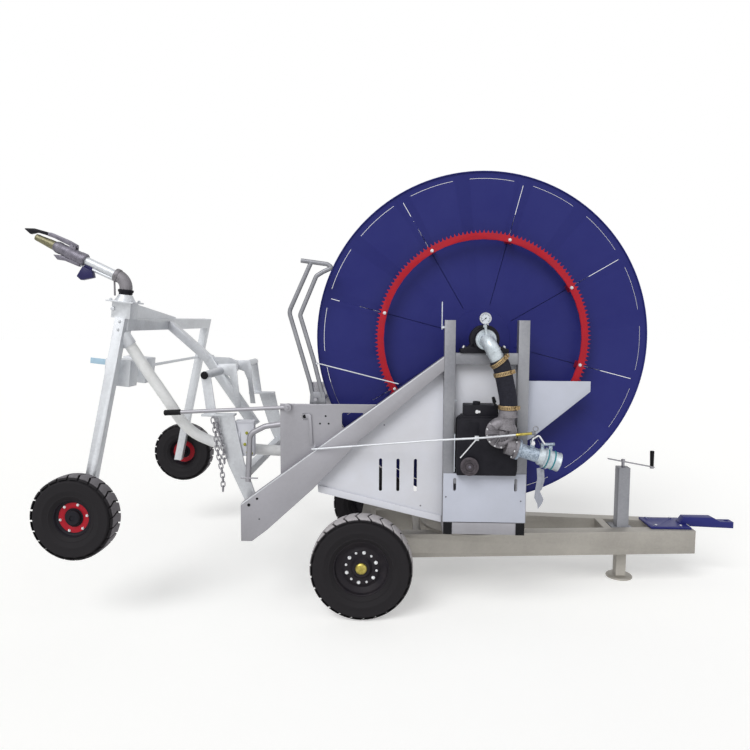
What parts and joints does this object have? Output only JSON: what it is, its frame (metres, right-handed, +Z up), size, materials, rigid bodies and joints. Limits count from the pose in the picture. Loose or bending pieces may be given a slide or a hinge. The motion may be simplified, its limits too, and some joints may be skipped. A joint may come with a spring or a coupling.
{
  "type": "hose reel irrigator",
  "caption": "Wheeled irrigation machine: pipe reel on a turntable with water turbine drive, pipe guide and a lifted sprinkler cart on two wheels.",
  "frame": {"origin": "centre of the bounding box on the ground", "axes": "+X towards the hitch, +Y away from the turbine side, +Z up"},
  "size_m": [4.2729, 1.9, 2.553],
  "materials": {
    "galvanised": "hot-dip galvanised, dull",
    "white_sheet": "white powder coat",
    "blue_paint": "deep blue paint, satin",
    "red_paint": "red paint, satin",
    "black_casting": "black paint, satin",
    "black_rim": "black paint, satin",
    "tyre": "matt black rubber",
    "hose_rubber": "matt black rubber",
    "polyethylene": "white, satin",
    "cast_aluminium": "as cast"
  },
  "bodies": {
    "chassis": {"chassis_frame": "galvanised", "hitch_plate": "blue_paint", "tow_bar": "blue_paint", "jack_tube": "galvanised"},
    "road_wheel_near": {"road_tyre_near": "tyre", "road_rim_near": "black_rim"},
    "road_wheel_far": {"road_tyre_far": "tyre", "road_rim_far": "black_rim"},
    "jack_leg": {"jack_leg": "galvanised"},
    "jack_crank": {"jack_crank": "black_rim"},
    "reel_frame": {"base_frame": "galvanised", "post_frame_near": "galvanised", "post_frame_far": "galvanised", "beam_near": "galvanised", "beam_far": "galvanised", "side_plate_near": "galvanised", "side_plate_far": "galvanised", "panel_left": "white_sheet", "panel_middle": "white_sheet", "panel_right": "white_sheet", "panel_lower": "white_sheet", "bearing_near": "black_casting", "bearing_far": "black_casting", "gearbox": "black_casting", "turbine": "cast_aluminium", "inlet_coupling": "galvanised", "swivel_elbow": "galvanised", "pressure_gauge": "galvanised", "supply_hose": "hose_rubber", "control_rod": "galvanised", "guide_bar": "galvanised", "rear_tie": "galvanised", "pipe_to_cart": "polyethylene"},
    "reel": {"flange_near": "blue_paint", "flange_far": "blue_paint", "drum_core": "blue_paint", "pipe_inner_layers": "polyethylene", "pipe_outer_layer": "polyethylene", "reel_shaft": "galvanised", "gear_ring": "red_paint"},
    "pinion": {"drive_pinion": "galvanised"},
    "input_pulley": {"input_pulley": "black_casting"},
    "reversing_screw": {"reversing_screw": "galvanised"},
    "guide_carriage": {"guide_carriage": "galvanised", "pipe_under_reel": "polyethylene"},
    "clutch_lever": {"clutch_lever": "galvanised"},
    "stop_lever": {"stop_lever": "galvanised"},
    "coupling_lever": {"coupling_lever": "galvanised"},
    "lift_frame": {"lift_frame": "galvanised", "cart_drawbar": "galvanised", "cart_frame": "galvanised", "weight_box_near": "galvanised", "weight_box_far": "galvanised"},
    "cart_wheel_near": {"cart_tyre_near": "tyre", "cart_rim_near": "red_paint"},
    "cart_wheel_far": {"cart_tyre_far": "tyre", "cart_rim_far": "red_paint"},
    "gun": {"gun_elbow": "galvanised", "gun_barrel": "cast_aluminium"},
    "gun_drive_arm": {"gun_drive_arm": "black_casting"}
  },
  "joints": [
    {"name": "road_wheel_near_spin", "type": "hinge", "parent": "chassis", "child": "road_wheel_near", "pos_m": [-0.28, -0.6645, 0.297], "axis": [0, 1, 0], "continuous": true},
    {"name": "road_wheel_far_spin", "type": "hinge", "parent": "chassis", "child": "road_wheel_far", "pos_m": [-0.28, 0.6645, 0.297], "axis": [0, 1, 0], "continuous": true},
    {"name": "jack_crank_turn", "type": "hinge", "parent": "chassis", "child": "jack_crank", "pos_m": [1.4175, 0, 0.748], "axis": [0, 0, 1], "range_deg": [0, 7200]},
    {"name": "jack_leg_slide", "type": "slide", "parent": "chassis", "child": "jack_leg", "axis": [0, 0, 1], "range_m": [0, 0.16]},
    {"name": "turntable_turn", "type": "hinge", "parent": "chassis", "child": "reel_frame", "pos_m": [0.408, 0, 0.364], "axis": [0, 0, 1], "range_deg": [-90, 90]},
    {"name": "reel_spin", "type": "hinge", "parent": "reel_frame", "child": "reel", "pos_m": [0.394, 0, 1.607], "axis": [0, 1, 0], "continuous": true},
    {"name": "pinion_spin", "type": "hinge", "parent": "reel_frame", "child": "pinion", "pos_m": [0.394, -0.606, 0.954], "axis": [0, 1, 0], "continuous": true},
    {"name": "input_pulley_spin", "type": "hinge", "parent": "reel_frame", "child": "input_pulley", "pos_m": [0.316, -0.775, 0.9145], "axis": [0, 1, 0], "continuous": true},
    {"name": "reversing_screw_spin", "type": "hinge", "parent": "reel_frame", "child": "reversing_screw", "pos_m": [-0.608, 0, 1.162], "axis": [0, 1, 0], "continuous": true},
    {"name": "guide_carriage_slide", "type": "slide", "parent": "reel_frame", "child": "guide_carriage", "axis": [0, 1, 0], "range_m": [0, 0.978], "deforming": ["pipe_under_reel"]},
    {"name": "clutch_lever_turn", "type": "hinge", "parent": "reel_frame", "child": "clutch_lever", "pos_m": [-0.542, -0.633, 1.262], "axis": [0, 1, 0], "range_deg": [-8, 8]},
    {"name": "stop_lever_turn", "type": "hinge", "parent": "reel_frame", "child": "stop_lever", "pos_m": [-0.7, -0.675, 1.215], "axis": [0, 1, 0], "range_deg": [-12, 12]},
    {"name": "coupling_lever_turn", "type": "hinge", "parent": "reel_frame", "child": "coupling_lever", "pos_m": [0.63919, -0.866, 1.06284], "axis": [0, -1, 0], "range_deg": [0, 80]},
    {"name": "lift_frame_turn", "type": "hinge", "parent": "reel_frame", "child": "lift_frame", "pos_m": [-0.92, 0, 0.66], "axis": [0, 1, 0], "range_deg": [-25, 0], "deforming": ["pipe_to_cart"]},
    {"name": "cart_wheel_near_spin", "type": "hinge", "parent": "lift_frame", "child": "cart_wheel_near", "pos_m": [-1.836, -0.885, 0.63], "axis": [0, 1, 0], "continuous": true},
    {"name": "cart_wheel_far_spin", "type": "hinge", "parent": "lift_frame", "child": "cart_wheel_far", "pos_m": [-1.836, 0.885, 0.63], "axis": [0, 1, 0], "continuous": true},
    {"name": "gun_turn", "type": "hinge", "parent": "lift_frame", "child": "gun", "pos_m": [-1.58291, -0.75, 1.84218], "axis": [0.1045, 0, 0.9945], "range_deg": [-110, 110]},
    {"name": "gun_drive_arm_turn", "type": "hinge", "parent": "gun", "child": "gun_drive_arm", "pos_m": [-1.85803, -0.75, 2.10781], "axis": [0, 1, 0], "range_deg": [0, 30]}
  ],
  "couplings": [
    {"joint": "jack_crank_turn", "follows": "jack_leg_slide", "rad_per_m": 785.4},
    {"joint": "pinion_spin", "follows": "reel_spin", "ratio": -11.429},
    {"joint": "input_pulley_spin", "follows": "reel_spin", "ratio": 24},
    {"joint": "reversing_screw_spin", "follows": "reel_spin", "ratio": 1.272}
  ]
}
